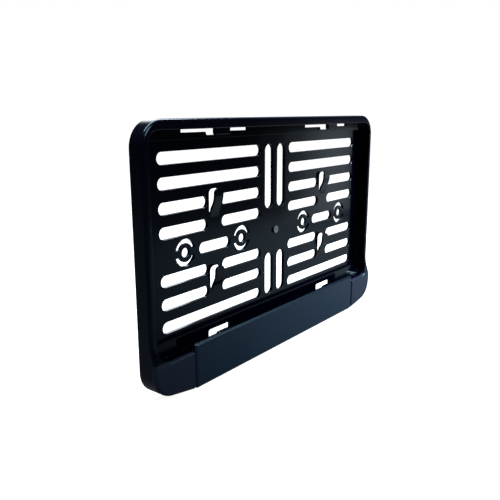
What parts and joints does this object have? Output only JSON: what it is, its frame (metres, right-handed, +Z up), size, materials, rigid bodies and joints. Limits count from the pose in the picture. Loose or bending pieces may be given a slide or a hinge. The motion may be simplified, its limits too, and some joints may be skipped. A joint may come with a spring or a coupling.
{
  "type": "number plate holder",
  "caption": "Moulded plastic holder for a two-line vehicle number plate, with a slotted base, rim, spring tongues, screw bosses and a clip-on bottom strip.",
  "frame": {"origin": "on the rear plane that meets the car, at the middle of the row of screw bosses", "axes": "+X to the right seen from the front, +Y back towards the car, +Z up; the plate side faces -Y"},
  "size_m": [0.3204, 0.0174, 0.2004],
  "materials": {
    "frame_plastic": "satin black",
    "strip_plastic": "fine satin black"
  },
  "bodies": {
    "holder": {"frame": "frame_plastic"},
    "strip": {"clip_strip": "strip_plastic"}
  },
  "joints": [
    {"name": "strip_pull", "type": "slide", "parent": "holder", "child": "strip", "axis": [0, -1, 0], "range_m": [0, 0.03]}
  ]
}
